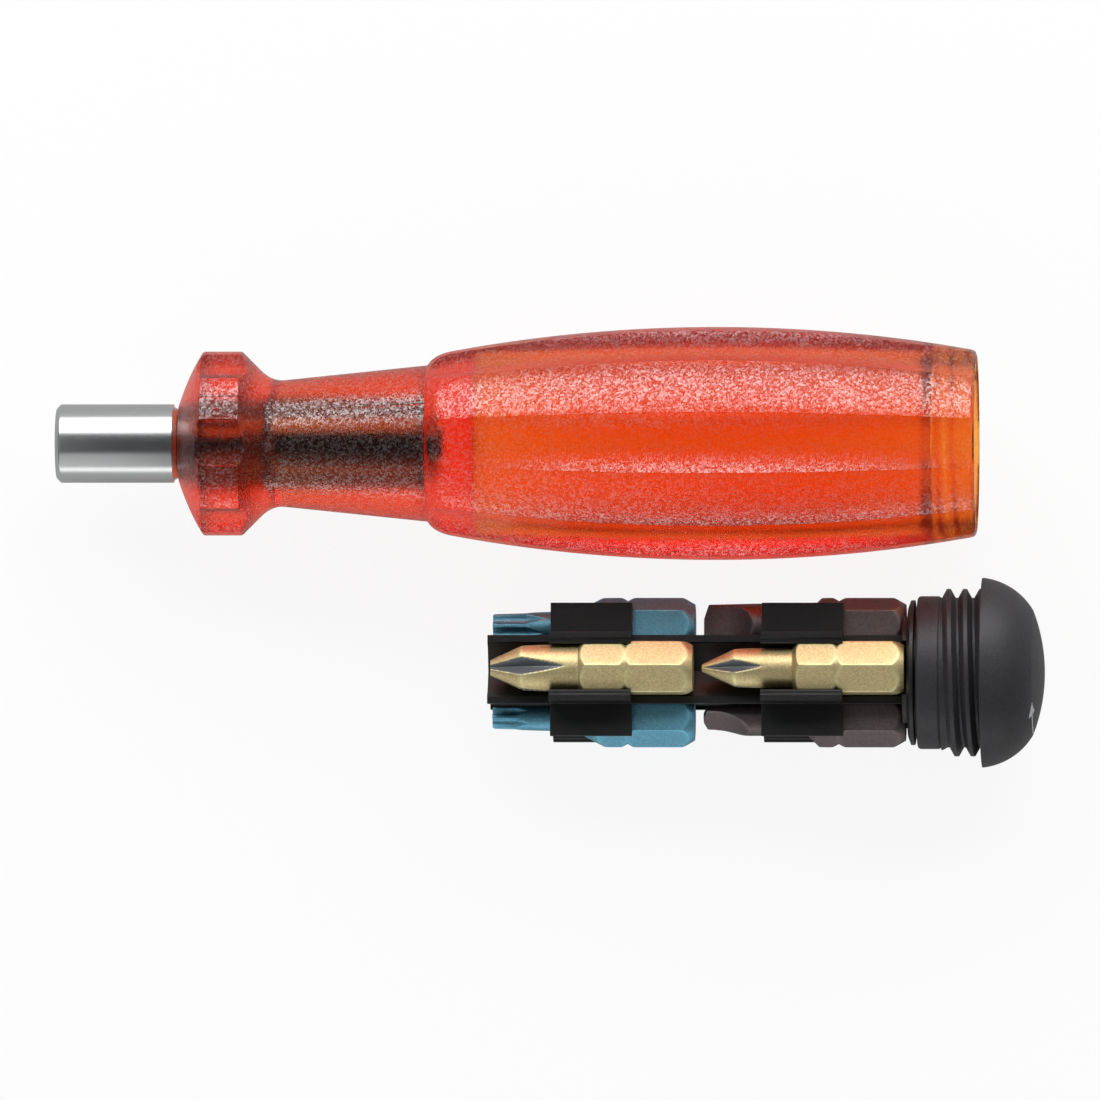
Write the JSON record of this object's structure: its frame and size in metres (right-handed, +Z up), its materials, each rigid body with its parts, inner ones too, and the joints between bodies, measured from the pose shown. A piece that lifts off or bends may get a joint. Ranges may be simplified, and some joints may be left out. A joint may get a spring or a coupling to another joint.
{
  "type": "bit holder screwdriver",
  "caption": "Translucent fluted screwdriver handle with a magnetic hex socket, and its clip-in bit magazine with threaded cap, drawn out and laid beside it.",
  "frame": {"origin": "middle of the underside of the whole layout, on the table that it lies on", "axes": "+X along the tool from the socket to the open end of the handle, +Y from the magazine to the handle, +Z up"},
  "size_m": [0.1222, 0.0544, 0.0282],
  "materials": {
    "red_plastic": "translucent, fine sparkled mould texture",
    "shank_steel": "turned steel",
    "satin_steel": "satin turned stainless steel",
    "magnet_plating": "nickel plated",
    "black_plastic": "satin moulded",
    "black_cap": "matte moulded",
    "gold_bit": "satin pale gold coating, ground steel flutes",
    "blue_bit": "satin blue coating",
    "dark_bit": "satin dark brown-grey coating"
  },
  "bodies": {
    "handle": {"handle": "red_plastic", "shank": "shank_steel", "socket_sleeve": "satin_steel", "magnet": "magnet_plating"},
    "magazine": {"magazine": "black_plastic"},
    "cap": {"cap": "black_cap"},
    "cross_2": {"bit_cross_2": "gold_bit"},
    "cross_1": {"bit_cross_1": "gold_bit"},
    "star_10": {"bit_star_10": "blue_bit"},
    "star_15": {"bit_star_15": "blue_bit"},
    "star_20": {"bit_star_20": "blue_bit"},
    "star_25": {"bit_star_25": "blue_bit"},
    "slot_wide": {"bit_slot_wide": "dark_bit"},
    "slot_narrow": {"bit_slot_narrow": "dark_bit"}
  },
  "joints": [
    {"name": "magazine_draw", "type": "slide", "parent": "handle", "child": "magazine", "axis": [0.9985, 0, 0.0539], "range_m": [0, 0.066]},
    {"name": "cap_turn", "type": "hinge", "parent": "magazine", "child": "cap", "pos_m": [0.04839, -0.01548, 0.01145], "axis": [0.9985, 0, 0.0539], "continuous": true},
    {"name": "cross_2_release", "type": "slide", "parent": "magazine", "child": "cross_2", "axis": [-0.0536, 0.1045, 0.9931], "range_m": [0, 0.0045]},
    {"name": "star_15_release", "type": "slide", "parent": "magazine", "child": "star_15", "axis": [0.0056, 0.9945, -0.1044], "range_m": [0, 0.0045]},
    {"name": "star_20_release", "type": "slide", "parent": "magazine", "child": "star_20", "axis": [0.0536, -0.1045, -0.9931], "range_m": [0, 0.0045]},
    {"name": "star_10_release", "type": "slide", "parent": "magazine", "child": "star_10", "axis": [-0.0056, -0.9945, 0.1044], "range_m": [0, 0.0045]},
    {"name": "cross_1_release", "type": "slide", "parent": "magazine", "child": "cross_1", "axis": [-0.0536, 0.1045, 0.9931], "range_m": [0, 0.0045]},
    {"name": "slot_wide_release", "type": "slide", "parent": "magazine", "child": "slot_wide", "axis": [0.0056, 0.9945, -0.1044], "range_m": [0, 0.0045]},
    {"name": "star_25_release", "type": "slide", "parent": "magazine", "child": "star_25", "axis": [0.0536, -0.1045, -0.9931], "range_m": [0, 0.0045]},
    {"name": "slot_narrow_release", "type": "slide", "parent": "magazine", "child": "slot_narrow", "axis": [-0.0056, -0.9945, 0.1044], "range_m": [0, 0.0045]}
  ]
}
